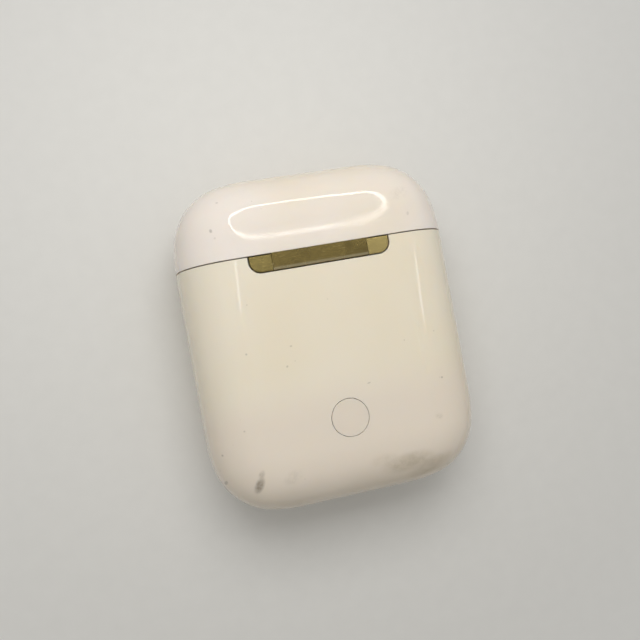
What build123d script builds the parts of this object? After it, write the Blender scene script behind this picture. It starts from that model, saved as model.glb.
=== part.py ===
"""A pocket charging case for two stem-style wireless earbuds.

The case lies on its front face. X runs across its width, Y from the base to the lid,
and Z up from the front face to the back face, which carries the hinge and the button.
The origin is on the resting surface, under the middle of the case. All sizes are millimetres.
"""

from build123d import *
import math
import os

os.makedirs("parts", exist_ok=True)

# The outer form: a pebble whose outline and edge are both three-arc eased curves.
case_width = 44.3
case_length = 53.5
case_depth = 21.3
ease_angle = 12.0  # degrees of turn in each easing arc
outline_ease_r = 24.0
outline_tight_r = 10.2
edge_tight_r = 8.0
edge_face_ease_r = 14.0
core_inset = 10.0  # the plain middle block lies inside all the edge rounding
wall = 1.2
mid_z = case_depth / 2
base_y = -case_length / 2

# The seam between the body and the lid.
seam_y = 13.4
seam_gap = 0.14
rim_y = seam_y - seam_gap / 2
lid_rim_y = seam_y + seam_gap / 2
rim_round = 0.15
insert_drop = 0.25  # the mouldings inside stand back from the shells' rims

# The hinge, set flush in a notch in the back wall.
notch_half_width = 11.1
notch_low_y = seam_y - 2.78
notch_corner_r = 1.9
hinge_gap = 0.18  # open line between the metal and its notch
leaf_half_width = 7.45
leaf_side_gap = 0.06
axis_y = seam_y - 1.68
axis_z = case_depth - 0.7
leaf_barrel_r = 0.7
pin_r = 0.35
pin_half_length = 10.4
running_gap = 0.03
leaf_back_z = axis_z - 1.2
bracket_front_z = leaf_back_z - 0.15
bracket_back_bar = 0.7
tongue_half_width = 7.0
tongue_top_y = 17.2

# The mouldings that hold the two earbuds: frame, cups and tubes in the body, and the lid's liner.
fit_gap = 0.05
skin = 0.8
well_x = 9.7
well_z = 9.6
well_width = 16.8
well_depth = 15.0
well_corner_r = 7.0
well_straight_y = 8.5
mouth_round = 0.35
stem_x = 12.4
stem_z = 10.0
stem_r = 3.3
stem_flat = 0.05  # half of the flat left on each side of the stem's bore
neck_y = 1.0
stem_end_y = -18.6
stem_floor_y = -16.9
deck_y = rim_y - insert_drop
deck_thickness = 1.2
deck_low_y = deck_y - deck_thickness
liner_y = lid_rim_y + insert_drop

# The button in the back face, and the switch behind it.
button_y = -13.2
button_r = 2.88
button_line = 0.06
flange_r = 3.7
flange_thickness = 0.5
button_travel = 0.25

# The spine plate, battery and main board between the stems.
spine_z = 13.5
spine_thickness = 1.0
battery_half_width = 7.8
battery_low_y = -17.0
battery_high_y = 0.4
battery_thickness = 9.0
pad_thickness = 0.4
board_z = 16.3
board_thickness = 0.8
board_half_width = 12.5
board_low_y = -21.5
board_high_y = -1.5
tab_half_width = 2.4
tab_high_y = 10.8
post_spots = [(x, y) for x in (-10.5, 10.5) for y in (-19.0, -4.0)]

# The charging port in the middle of the base.
port_width = 7.6
port_height = 2.5
port_can_wall = 0.3
port_ring_wall = 0.45
port_can_depth = 7.6
port_ring_depth = 1.5
port_contact_count = 8
port_contact_pitch = 0.8

# Details of the hinge's pieces and its seat in the frame.
pin_seat_gap = 0.02
bracket_low_z = bracket_front_z - bracket_back_bar
leaf_top_y = lid_rim_y - 0.02
leaf_web_y = axis_y + 1.0
leaf_face_thickness = 0.8
leaf_lip_r = 0.3
tongue_hole_r = 0.9
tongue_holes = [(x, 15.4) for x in (-4.2, 4.2)]
seat_half_width = 12.0
seat_depth = 2.35
seat_height = 3.5

# Magnets, light and lid sensor.
magnet_width = 4.0
magnet_depth = 2.0
magnet_height = 2.6
magnet_cover = 0.5
magnet_chamfer = 0.15
magnet_z = 3.6
led_z = board_z - 0.4
led_width = 1.6
led_length = 0.8
guide_r = 0.8
guide_flange_r = 1.15
guide_flange_thickness = 0.4
sensor_magnet_r = 1.1
sensor_magnet_height = 2.0
sensor_y = 7.6
sensor_width = 1.6
sensor_length = 1.4
sensor_height = 0.7

# Spine, posts and port cradle.
spine_low_y = -20.5
spine_high_y = neck_y - fit_gap
post_r = 1.2
peg_r = 0.6
peg_stand = 0.35
cradle_half_width = 6.0
cradle_half_depth = 3.2
cradle_corner_r = 1.5
cradle_low_y = -24.4
cradle_high_y = -17.2
board_top_z = board_z + board_thickness
board_corner_r = 1.0

# Battery details.
battery_corner_r = 1.6
terrace_half_width = 6.5
terrace_length = 1.8
terrace_thickness = 0.8
cell_board_half_width = 5.5
cell_board_length = 2.6
flex_half_width = 1.5
flex_thickness = 0.12
flex_landing = 1.0
flex_bend_r = 0.6
flex_low_y = battery_high_y + terrace_length + 0.1
flex_low_z = spine_z - pad_thickness - terrace_thickness + flex_thickness / 2
flex_high_z = board_z - flex_thickness / 2
pad_half_width = 6.4
pad_length = 13.0
pad_corner_r = 1.0

# Button and switch details.
button_edge_r = 0.05
plunger_r = 1.25
plunger_length = 2.0
switch_width = 5.2
switch_height = 1.8
switch_corner_r = 0.6

# Chips on the back of the main board: x, y, width, length, height.
chips = [
    (-7.0, -8.6, 5.6, 5.6, 0.9),
    (6.4, -8.2, 4.2, 4.2, 0.8),
    (-6.6, -16.4, 3.4, 4.4, 0.8),
    (6.8, -16.2, 3.2, 3.2, 1.2),
    (10.6, -12.4, 1.8, 2.6, 1.0),
    (-10.8, -13.6, 1.2, 2.0, 0.6),
    (0.0, -4.4, 3.0, 2.2, 0.7),
    (3.6, -20.0, 6.4, 1.4, 0.8),
]

# Port and contact details.
can_width = port_width + 2 * port_can_wall
can_height = port_height + 2 * port_can_wall
port_ring_back = 0.02
port_ring_edge_r = 0.2
port_back_y = base_y + port_ring_depth + port_can_depth
contact_block_length = 2.4
port_contact_thickness = 0.2
port_contact_width = 0.35
port_contact_path = [(0.0, 0.9), (2.6, 0.3), (3.3, 0.7)]  # reach towards the mouth, and rise
contact_root_y = port_back_y - contact_block_length
contact_spread = 1.5
contact_width = 2.0
contact_thickness = 0.18
contact_slot_width = 0.4
contact_tail = 0.6
contact_reach = 1.2
contact_tip_y = stem_floor_y + 0.2

hands = (("left", -1), ("right", 1))


def across(y):
    """The cross-section plane at y, whose own x is X and own y is Z. It faces the base."""
    return Plane.XZ.offset(-y)


def outline(inset):
    """The case's outline in plan, moved inwards by inset."""
    half_width = case_width / 2 - inset
    half_length = case_length / 2 - inset
    ease_r = outline_ease_r - inset
    tight_r = outline_tight_r - inset
    turn = math.radians(ease_angle)
    reach = ease_r * (1 - math.cos(turn) + math.sin(turn)) + tight_r * (math.cos(turn) - math.sin(turn))
    with BuildLine() as line:
        side = Line((half_width, 0), (half_width, half_length - reach))
        arc_in = JernArc(side @ 1, side % 1, ease_r, ease_angle)
        arc_mid = JernArc(arc_in @ 1, arc_in % 1, tight_r, 90 - 2 * ease_angle)
        arc_out = JernArc(arc_mid @ 1, arc_mid % 1, ease_r, ease_angle)
        Line(arc_out @ 1, (0, half_length))
        mirror(about=Plane.YZ)
        mirror(about=Plane.XZ)
    return line.wires()[0]


def pebble(inset):
    """The case's whole outer form, or the parallel form that lies inset inside it."""
    turn = math.radians(ease_angle)
    tight_rise = edge_tight_r * (math.cos(turn) - math.sin(turn))
    face_rise = edge_face_ease_r * (1 - math.cos(turn))
    side_ease_r = (mid_z - tight_rise - face_rise) / math.sin(turn)
    start = Plane(origin=(case_width / 2 - inset, 0, 0), x_dir=(-1, 0, 0), z_dir=(0, 1, 0))
    rim = outline(inset)
    core = outline(core_inset)
    with BuildPart() as form:
        with BuildSketch(start):
            with BuildLine():
                side_arc = JernArc((0, 0), (0, 1), side_ease_r - inset, -ease_angle)
                tight_arc = JernArc(side_arc @ 1, side_arc % 1, edge_tight_r - inset, 2 * ease_angle - 90)
                face_arc = JernArc(tight_arc @ 1, tight_arc % 1, edge_face_ease_r - inset, -ease_angle)
                depth_in = core_inset - inset
                Polyline(face_arc @ 1, (depth_in, mid_z - inset), (depth_in, 0), (0, 0))
            make_face()
        sweep(path=rim)
        with BuildSketch():
            with BuildLine():
                add(core)
            make_face()
        extrude(amount=mid_z - inset)
        mirror(about=Plane.XY)
    return form.part.moved(Location((0, 0, mid_z)))


def hinge_outline(gap, top_y):
    """The hinge seen from behind, standing back by gap from its notch, up to top_y."""
    low_y = notch_low_y + gap
    with BuildSketch() as shape:
        with Locations((0, low_y)):
            Rectangle(2 * (notch_half_width - gap), top_y - low_y, align=(Align.CENTER, Align.MIN))
        fillet(shape.vertices().group_by(Axis.Y)[0], notch_corner_r - gap)
    return shape.sketch


def well(side, grow):
    """One earbud's space below the deck, or with grow the outside of the wall around it."""
    with BuildPart() as space:
        with BuildSketch(across(deck_y)):
            with Locations((side * well_x, well_z)):
                RectangleRounded(well_width + 2 * grow, well_depth + 2 * grow, well_corner_r + grow)
        extrude(amount=deck_y - well_straight_y)
        with BuildSketch(across(well_straight_y)):
            with Locations((side * well_x, well_z)):
                RectangleRounded(well_width + 2 * grow, well_depth + 2 * grow, well_corner_r + grow)
        with BuildSketch(across(neck_y)) as neck:
            with Locations((side * stem_x, stem_z)):
                RectangleRounded(2 * (stem_r + grow), 2 * (stem_r + grow), stem_r + grow - stem_flat)
        loft()
        extrude(to_extrude=neck.sketch, amount=neck_y - stem_end_y)
    return space.part


def recess(side, grow, form):
    """One earbud's space in the lid, or with grow the outside of its wall, kept inside form."""
    with BuildPart() as space:
        with BuildSketch(across(liner_y)):
            with Locations((side * well_x, well_z)):
                RectangleRounded(well_width + 2 * grow, well_depth + 2 * grow, well_corner_r + grow)
        extrude(amount=liner_y - case_length / 2)
        add(form, mode=Mode.INTERSECT)
    return space.part


outer_form = pebble(0)
inner_form = pebble(wall)
insert_form = pebble(wall + fit_gap)
recess_form = pebble(wall + fit_gap + skin)
notch_outline = hinge_outline(0, lid_rim_y + wall)
bracket_outline = hinge_outline(hinge_gap, rim_y)
bracket_pocket = hinge_outline(hinge_gap - fit_gap, rim_y)
well_spaces = [well(side, 0) for hand, side in hands]
well_walls = [well(side, skin) for hand, side in hands]
recess_spaces = [recess(side, 0, recess_form) for hand, side in hands]
recess_walls = [recess(side, skin, insert_form) for hand, side in hands]
with BuildPart() as lower_space:
    with BuildSketch(across(deck_low_y)):
        with Locations((0, mid_z)):
            Rectangle(case_width, case_depth)
    extrude(amount=case_length)
below_deck = lower_space.part

# The body's shell: one moulding, open at the seam, with the notch, button hole and port hole.
with BuildPart() as case_shell:
    add(outer_form)
    split(bisect_by=across(rim_y), keep=Keep.TOP)
    add(inner_form, mode=Mode.SUBTRACT)
    fillet(case_shell.faces().sort_by(Axis.Y)[-1].outer_wire().edges(), rim_round)
    with BuildSketch(Plane.XY.offset(case_depth - 2 * wall)):
        add(notch_outline)
    extrude(amount=3 * wall, mode=Mode.SUBTRACT)
    with Locations((0, button_y, case_depth)):
        Hole(button_r + button_line, depth=2 * wall)
    with BuildSketch(across(base_y + 2 * wall)):
        with Locations((0, mid_z)):
            SlotOverall(port_width + 2 * port_ring_wall, port_height + 2 * port_ring_wall)
    extrude(amount=3 * wall, mode=Mode.SUBTRACT)
case_shell.part.label = "case_shell"
export_step(case_shell.part, "parts/case_shell.step")

# The lid's shell.
with BuildPart() as lid_shell:
    add(outer_form)
    split(bisect_by=across(lid_rim_y), keep=Keep.BOTTOM)
    add(inner_form, mode=Mode.SUBTRACT)
    fillet(lid_shell.faces().sort_by(Axis.Y)[0].outer_wire().edges(), rim_round)
lid_shell.part.label = "lid_shell"
export_step(lid_shell.part, "parts/lid_shell.step")

# The frame in the body's mouth: a deck with two mouths, the hinge seat and the magnet's pocket.
with BuildPart() as inner_frame:
    add(insert_form)
    split(bisect_by=across(deck_y), keep=Keep.TOP)
    split(bisect_by=across(deck_low_y), keep=Keep.BOTTOM)
    with BuildSketch(across(deck_y)):
        with Locations((0, case_depth - wall - fit_gap)):
            Rectangle(2 * seat_half_width, seat_depth, align=(Align.CENTER, Align.MAX))
        with Locations((0, magnet_z)):
            Rectangle(magnet_width + 2 * skin, magnet_depth + 2 * skin)
    extrude(amount=seat_height)
    for wall_form in well_walls:
        add(wall_form & below_deck, mode=Mode.SUBTRACT)
    add(well_spaces, mode=Mode.SUBTRACT)
    mouths = inner_frame.faces().sort_by(Axis.Y)[-1].inner_wires()
    fillet([edge for mouth in mouths for edge in mouth.edges()], mouth_round)
    with BuildSketch(Plane.XY.offset(bracket_low_z - fit_gap)):
        add(bracket_pocket)
    extrude(amount=case_depth, mode=Mode.SUBTRACT)
    with BuildSketch(across(deck_y)):
        with Locations((0, led_z)):
            Circle(guide_r + running_gap)
    extrude(amount=deck_thickness, mode=Mode.SUBTRACT)
    with BuildSketch(across(deck_y - magnet_cover)):
        with Locations((0, magnet_z)):
            Rectangle(magnet_width + fit_gap, magnet_depth + fit_gap)
    extrude(amount=magnet_height, mode=Mode.SUBTRACT)
inner_frame.part.label = "inner_frame"
export_step(inner_frame.part, "parts/inner_frame.step")

# Under each mouth, a cup that narrows to a neck, and below it the tube for one earbud's stem.
for hand, side in hands:
    with BuildPart() as well_cup:
        add(well(side, skin))
        split(bisect_by=across(deck_low_y), keep=Keep.TOP)
        split(bisect_by=across(neck_y), keep=Keep.BOTTOM)
        add(well(side, 0), mode=Mode.SUBTRACT)
    well_cup.part.label = f"well_cup_{hand}"
    export_step(well_cup.part, f"parts/well_cup_{hand}.step")

    with BuildPart() as stem_tube:
        with BuildSketch(across(neck_y)):
            with Locations((side * stem_x, stem_z)):
                RectangleRounded(2 * (stem_r + skin), 2 * (stem_r + skin), stem_r + skin - stem_flat)
                RectangleRounded(2 * stem_r, 2 * stem_r, stem_r - stem_flat, mode=Mode.SUBTRACT)
        extrude(amount=neck_y - stem_end_y)
    stem_tube.part.label = f"stem_tube_{hand}"
    export_step(stem_tube.part, f"parts/stem_tube_{hand}.step")

# The spine plate lies over the two tubes and carries the board's posts and the port's cradle.
with BuildPart() as spine_plate:
    with BuildSketch(Plane.XY.offset(spine_z)):
        with Locations((0, spine_low_y)):
            Rectangle(2 * board_half_width, spine_high_y - spine_low_y, align=(Align.CENTER, Align.MIN))
    extrude(amount=spine_thickness)
    with BuildSketch(Plane.XY.offset(spine_z)):
        with Locations(*post_spots):
            Circle(post_r)
    extrude(amount=board_z - spine_z)
    with BuildSketch(Plane.XY.offset(board_z)):
        with Locations(*post_spots):
            Circle(peg_r)
    extrude(amount=board_thickness + peg_stand)
    with BuildSketch(across(cradle_high_y)):
        with Locations((0, mid_z)):
            Rectangle(2 * (stem_x - stem_r), 2 * cradle_half_depth)
    extrude(amount=cradle_high_y - stem_end_y)
    with BuildSketch(across(stem_end_y)):
        with Locations((0, mid_z)):
            RectangleRounded(2 * cradle_half_width, 2 * cradle_half_depth, cradle_corner_r)
    extrude(amount=stem_end_y - cradle_low_y)
    add(well_walls, mode=Mode.SUBTRACT)
    with BuildSketch(across(port_back_y + fit_gap)):
        with Locations((0, mid_z)):
            SlotOverall(can_width + 2 * fit_gap, can_height + 2 * fit_gap)
    extrude(amount=case_length, mode=Mode.SUBTRACT)
spine_plate.part.label = "spine_plate"
export_step(spine_plate.part, "parts/spine_plate.step")

# The hinge bracket: two end plates, and the bar that joins them in front of the leaf.
with BuildPart() as hinge_bracket:
    with BuildSketch(Plane.XY.offset(bracket_low_z)):
        add(bracket_outline)
    extrude(amount=case_depth - bracket_low_z)
    fillet(hinge_bracket.faces().sort_by(Axis.Z)[-1].edges(), rim_round)
    with BuildSketch(Plane.XY.offset(bracket_front_z)):
        with Locations((0, seam_y)):
            Rectangle(2 * (leaf_half_width + leaf_side_gap), notch_half_width)
    extrude(amount=case_depth, mode=Mode.SUBTRACT)
    with BuildSketch(Plane.YZ):
        with Locations((axis_y, axis_z)):
            Circle(pin_r + pin_seat_gap)
    extrude(amount=notch_half_width, both=True, mode=Mode.SUBTRACT)
hinge_bracket.part.label = "hinge_bracket"
export_step(hinge_bracket.part, "parts/hinge_bracket.step")

# The leaf that turns with the lid: a barrel on the pin, a flush face and a tongue into the lid.
with BuildPart() as hinge_leaf:
    with BuildSketch(Plane.YZ) as section:
        with Locations((notch_low_y + hinge_gap, case_depth)):
            Rectangle(leaf_top_y - notch_low_y - hinge_gap, leaf_face_thickness, align=(Align.MIN, Align.MAX))
        fillet(section.vertices().group_by(Axis.X)[0], leaf_lip_r)
        with Locations((axis_y, axis_z)):
            Circle(leaf_barrel_r)
        with Locations((leaf_web_y, case_depth)):
            Rectangle(leaf_top_y - leaf_web_y, case_depth - leaf_back_z, align=(Align.MIN, Align.MAX))
        with Locations((axis_y, axis_z)):
            Circle(pin_r + running_gap, mode=Mode.SUBTRACT)
    extrude(amount=leaf_half_width, both=True)
    with BuildSketch(Plane.XY.offset(leaf_back_z)) as tongue:
        with Locations((0, leaf_web_y)):
            Rectangle(2 * tongue_half_width, tongue_top_y - leaf_web_y, align=(Align.CENTER, Align.MIN))
        fillet(tongue.vertices().group_by(Axis.Y)[-1], notch_corner_r)
        with Locations(*tongue_holes):
            Circle(tongue_hole_r, mode=Mode.SUBTRACT)
    extrude(amount=case_depth - wall - pin_seat_gap - leaf_back_z)
hinge_leaf.part.label = "hinge_leaf"
export_step(hinge_leaf.part, "parts/hinge_leaf.step")

with BuildPart() as hinge_pin:
    with BuildSketch(Plane.YZ):
        with Locations((axis_y, axis_z)):
            Circle(pin_r)
    extrude(amount=pin_half_length, both=True)
    chamfer(hinge_pin.edges().filter_by(GeomType.CIRCLE), pin_r / 4)
hinge_pin.part.label = "hinge_pin"
export_step(hinge_pin.part, "parts/hinge_pin.step")

# The lid's liner: a rim plate with two domed recesses, and a slot for the leaf's tongue.
with BuildPart() as lid_liner:
    add(insert_form)
    split(bisect_by=across(liner_y), keep=Keep.BOTTOM)
    split(bisect_by=across(liner_y + skin), keep=Keep.TOP)
    add(recess_walls)
    add(recess_spaces, mode=Mode.SUBTRACT)
    mouths = lid_liner.faces().sort_by(Axis.Y)[0].inner_wires()
    fillet([edge for mouth in mouths for edge in mouth.edges()], mouth_round)
    with BuildSketch(across(liner_y + skin)):
        with Locations((0, leaf_back_z - fit_gap)):
            Rectangle(2 * (tongue_half_width + fit_gap), case_depth, align=(Align.CENTER, Align.MIN))
    extrude(amount=skin, mode=Mode.SUBTRACT)
lid_liner.part.label = "lid_liner"
export_step(lid_liner.part, "parts/lid_liner.step")

# The magnets: one under the deck and one over the liner hold the lid shut, and one tells of the lid.
with BuildPart() as body_magnet:
    with BuildSketch(across(deck_y - magnet_cover)):
        with Locations((0, magnet_z)):
            Rectangle(magnet_width, magnet_depth)
    extrude(amount=magnet_height)
    chamfer(body_magnet.edges(), magnet_chamfer)
body_magnet.part.label = "body_magnet"
export_step(body_magnet.part, "parts/body_magnet.step")

with BuildPart() as lid_magnet:
    with BuildSketch(across(liner_y + skin + magnet_height)):
        with Locations((0, magnet_z)):
            Rectangle(magnet_width, magnet_depth)
    extrude(amount=magnet_height)
    chamfer(lid_magnet.edges(), magnet_chamfer)
lid_magnet.part.label = "lid_magnet"
export_step(lid_magnet.part, "parts/lid_magnet.step")

with BuildPart() as sensor_magnet:
    with BuildSketch(across(liner_y + skin + sensor_magnet_height)):
        with Locations((0, led_z)):
            Circle(sensor_magnet_r)
    extrude(amount=sensor_magnet_height)
sensor_magnet.part.label = "sensor_magnet"
export_step(sensor_magnet.part, "parts/sensor_magnet.step")

# The button cap, flush with the back face and kept in by its flange.
cap_base_z = case_depth - wall - fit_gap
with BuildPart() as button_cap:
    with BuildSketch(Plane.XY.offset(cap_base_z)):
        with Locations((0, button_y)):
            Circle(button_r)
    extrude(amount=case_depth - cap_base_z)
    fillet(button_cap.edges().sort_by(Axis.Z)[-1], button_edge_r)
    with BuildSketch(Plane.XY.offset(cap_base_z - flange_thickness)):
        with Locations((0, button_y)):
            Circle(flange_r)
    extrude(amount=flange_thickness)
button_cap.part.label = "button_cap"
export_step(button_cap.part, "parts/button_cap.step")

with BuildPart() as button_plunger:
    with BuildSketch(Plane.XY.offset(cap_base_z - flange_thickness)):
        with Locations((0, button_y)):
            Circle(plunger_r)
    extrude(amount=-plunger_length)
    fillet(button_plunger.edges().sort_by(Axis.Z)[0], plunger_r / 4)
button_plunger.part.label = "button_plunger"
export_step(button_plunger.part, "parts/button_plunger.step")

with BuildPart() as button_switch:
    with BuildSketch(Plane.XY.offset(board_top_z)):
        with Locations((0, button_y)):
            RectangleRounded(switch_width, switch_width, switch_corner_r)
            Circle(plunger_r + fit_gap, mode=Mode.SUBTRACT)
    extrude(amount=switch_height)
button_switch.part.label = "button_switch"
export_step(button_switch.part, "parts/button_switch.step")

# The battery: a pouch cell with its sealed terrace, stuck to the spine plate and backed by foam.
battery_z = spine_z - pad_thickness - battery_thickness
with BuildPart() as battery_cell:
    with BuildSketch(across(battery_high_y)):
        with Locations((0, battery_z + battery_thickness / 2)):
            RectangleRounded(2 * battery_half_width, battery_thickness, battery_corner_r)
    extrude(amount=battery_high_y - battery_low_y)
    fillet(battery_cell.faces().sort_by(Axis.Y)[0].edges(), battery_corner_r / 2)
    with BuildSketch(Plane.XY.offset(battery_z + battery_thickness - terrace_thickness)):
        with Locations((0, battery_high_y)):
            Rectangle(2 * terrace_half_width, terrace_length, align=(Align.CENTER, Align.MIN))
    extrude(amount=terrace_thickness)
battery_cell.part.label = "battery_cell"
export_step(battery_cell.part, "parts/battery_cell.step")

with BuildPart() as battery_adhesive:
    with BuildSketch(Plane.XY.offset(spine_z - pad_thickness)):
        with Locations((0, (battery_low_y + battery_high_y) / 2)):
            RectangleRounded(2 * pad_half_width, pad_length, pad_corner_r)
    extrude(amount=pad_thickness)
battery_adhesive.part.label = "battery_adhesive"
export_step(battery_adhesive.part, "parts/battery_adhesive.step")

with BuildPart() as battery_foam:
    with BuildSketch(Plane.XY.offset(wall + fit_gap)):
        with Locations((0, (battery_low_y + battery_high_y) / 2)):
            RectangleRounded(2 * pad_half_width, pad_length, pad_corner_r)
    extrude(amount=battery_z - wall - fit_gap)
battery_foam.part.label = "battery_foam"
export_step(battery_foam.part, "parts/battery_foam.step")

with BuildPart() as battery_board:
    with BuildSketch(Plane.XY.offset(battery_z + battery_thickness - terrace_thickness)):
        with Locations((0, battery_high_y + fit_gap)):
            Rectangle(2 * cell_board_half_width, cell_board_length, align=(Align.CENTER, Align.MIN))
    extrude(amount=-board_thickness)
battery_board.part.label = "battery_board"
export_step(battery_board.part, "parts/battery_board.step")

# A printed strip joins the cell's board to the tab of the main board.
with BuildPart() as battery_flex:
    with BuildSketch(Plane.YZ):
        with BuildLine():
            foot = Line((flex_low_y, flex_low_z), (flex_low_y + flex_landing, flex_low_z))
            bend = JernArc(foot @ 1, foot % 1, flex_bend_r, 90)
            rise = Line(bend @ 1, (bend @ 1) + (0, flex_high_z - flex_low_z - 2 * flex_bend_r))
            fold = JernArc(rise @ 1, rise % 1, flex_bend_r, -90)
            Line(fold @ 1, (fold @ 1) + (flex_landing, 0))
        trace(line_width=flex_thickness)
    extrude(amount=flex_half_width, both=True)
battery_flex.part.label = "battery_flex"
export_step(battery_flex.part, "parts/battery_flex.step")

# The main board, with a tab that reaches up between the wells to the light and the lid sensor.
with BuildPart() as main_board:
    with BuildSketch(Plane.XY.offset(board_z)) as board:
        with Locations((0, board_low_y)):
            Rectangle(2 * board_half_width, board_high_y - board_low_y, align=(Align.CENTER, Align.MIN))
            Rectangle(2 * tab_half_width, tab_high_y - board_low_y, align=(Align.CENTER, Align.MIN))
        fillet(board.vertices(), board_corner_r)
        with Locations(*post_spots):
            Circle(peg_r + fit_gap, mode=Mode.SUBTRACT)
    extrude(amount=board_thickness)
main_board.part.label = "main_board"
export_step(main_board.part, "parts/main_board.step")

with BuildPart() as board_chips:
    for chip_x, chip_y, chip_width, chip_length, chip_height in chips:
        with BuildSketch(Plane.XY.offset(board_top_z)):
            with Locations((chip_x, chip_y)):
                Rectangle(chip_width, chip_length)
        extrude(amount=chip_height)
board_chips.part.label = "board_chips"
export_step(board_chips.part, "parts/board_chips.step")

with BuildPart() as status_led:
    with BuildSketch(across(tab_high_y)):
        with Locations((0, led_z)):
            Rectangle(led_width, 2 * (board_z - led_z))
    extrude(amount=led_length)
status_led.part.label = "status_led"
export_step(status_led.part, "parts/status_led.step")

with BuildPart() as light_guide:
    with BuildSketch(across(deck_y)):
        with Locations((0, led_z)):
            Circle(guide_r)
    extrude(amount=deck_thickness)
    with BuildSketch(across(deck_low_y)):
        with Locations((0, led_z)):
            Circle(guide_flange_r)
    extrude(amount=guide_flange_thickness)
light_guide.part.label = "light_guide"
export_step(light_guide.part, "parts/light_guide.step")

with BuildPart() as lid_sensor:
    with BuildSketch(Plane.XY.offset(board_z)):
        with Locations((0, sensor_y)):
            Rectangle(sensor_width, sensor_length)
    extrude(amount=-sensor_height)
lid_sensor.part.label = "lid_sensor"
export_step(lid_sensor.part, "parts/lid_sensor.step")

# The charging port: a trim ring in the base, a metal can, and a block of spring contacts.
with BuildPart() as port_ring:
    with BuildSketch(across(base_y + port_ring_depth)):
        with Locations((0, mid_z)):
            SlotOverall(port_width + 2 * port_ring_wall, port_height + 2 * port_ring_wall)
            SlotOverall(port_width, port_height, mode=Mode.SUBTRACT)
    extrude(amount=port_ring_depth - port_ring_back)
    fillet(port_ring.faces().sort_by(Axis.Y)[0].inner_wires()[0].edges(), port_ring_edge_r)
port_ring.part.label = "port_ring"
export_step(port_ring.part, "parts/port_ring.step")

with BuildPart() as port_can:
    with BuildSketch(across(port_back_y)):
        with Locations((0, mid_z)):
            SlotOverall(can_width, can_height)
            SlotOverall(port_width, port_height, mode=Mode.SUBTRACT)
    extrude(amount=port_back_y - base_y - port_ring_depth)
port_can.part.label = "port_can"
export_step(port_can.part, "parts/port_can.step")

with BuildPart() as port_contact_block:
    with BuildSketch(across(port_back_y)):
        with Locations((0, mid_z)):
            SlotOverall(port_width - fit_gap, port_height - fit_gap)
    extrude(amount=contact_block_length)
port_contact_block.part.label = "port_contact_block"
export_step(port_contact_block.part, "parts/port_contact_block.step")

with BuildPart() as port_contacts:
    for number in range(port_contact_count):
        contact_x = (number - (port_contact_count - 1) / 2) * port_contact_pitch
        with BuildSketch(Plane.YZ.offset(contact_x)) as contact:
            with BuildLine() as arm:
                Polyline([(contact_root_y - reach, mid_z + rise) for reach, rise in port_contact_path])
            trace(line_width=port_contact_thickness)
        extrude(amount=port_contact_width / 2, both=True)
port_contacts.part.label = "port_contacts"
export_step(port_contacts.part, "parts/port_contacts.step")

# At the foot of each stem's bore, a carrier plug with two spring contacts.
for hand, side in hands:
    with BuildPart() as contact_carrier:
        with BuildSketch(across(stem_floor_y)):
            with Locations((side * stem_x, stem_z)):
                Circle(stem_r - fit_gap)
            with Locations(*[(side * stem_x + way * contact_spread, stem_z) for way in (-1, 1)]):
                Rectangle(contact_slot_width, contact_width + 2 * fit_gap, mode=Mode.SUBTRACT)
        extrude(amount=stem_floor_y - stem_end_y)
    contact_carrier.part.label = f"contact_carrier_{hand}"
    export_step(contact_carrier.part, f"parts/contact_carrier_{hand}.step")

    with BuildPart() as contact_springs:
        for way in (-1, 1):
            spring_x = side * stem_x + way * contact_spread
            with BuildSketch(Plane.XY.offset(stem_z)):
                with BuildLine():
                    leg = Line((spring_x, stem_end_y - contact_tail), (spring_x, stem_floor_y))
                    TangentArc(leg @ 1, (spring_x - way * contact_reach, contact_tip_y), tangent=leg % 1)
                trace(line_width=contact_thickness)
            extrude(amount=contact_width / 2, both=True)
    contact_springs.part.label = f"contact_springs_{hand}"
    export_step(contact_springs.part, f"parts/contact_springs_{hand}.step")
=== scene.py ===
import bpy
import bmesh
import math
import numpy as np
from mathutils import Euler, Matrix, Vector
from mathutils.kdtree import KDTree


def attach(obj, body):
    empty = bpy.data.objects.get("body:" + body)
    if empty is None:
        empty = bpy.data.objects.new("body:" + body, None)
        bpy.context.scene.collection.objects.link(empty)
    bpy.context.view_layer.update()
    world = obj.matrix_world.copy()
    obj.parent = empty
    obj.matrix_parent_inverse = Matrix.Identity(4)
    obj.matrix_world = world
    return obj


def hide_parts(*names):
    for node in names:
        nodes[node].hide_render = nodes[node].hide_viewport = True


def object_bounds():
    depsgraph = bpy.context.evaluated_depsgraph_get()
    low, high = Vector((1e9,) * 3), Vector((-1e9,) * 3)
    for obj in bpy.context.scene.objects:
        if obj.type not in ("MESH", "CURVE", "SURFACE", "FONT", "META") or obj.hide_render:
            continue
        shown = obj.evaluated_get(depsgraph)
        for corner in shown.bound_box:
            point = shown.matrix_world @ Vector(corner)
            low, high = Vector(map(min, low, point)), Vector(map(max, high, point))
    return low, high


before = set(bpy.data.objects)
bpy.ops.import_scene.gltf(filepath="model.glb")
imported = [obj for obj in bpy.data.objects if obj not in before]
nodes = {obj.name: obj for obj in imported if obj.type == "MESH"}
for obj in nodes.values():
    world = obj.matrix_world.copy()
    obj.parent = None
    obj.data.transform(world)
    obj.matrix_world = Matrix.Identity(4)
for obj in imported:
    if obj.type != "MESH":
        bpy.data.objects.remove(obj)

cadBounds = [[float(v) for v in corner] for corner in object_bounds()]
mm = 0.001


def linearColour(hexText):  # an sRGB hex value as the linear colour that shaders use
    parts = [int(hexText[i:i + 2], 16) / 255 for i in (1, 3, 5)]
    return [p / 12.92 if p <= 0.04045 else ((p + 0.055) / 1.055) ** 2.4 for p in parts] + [1.0]


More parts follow.
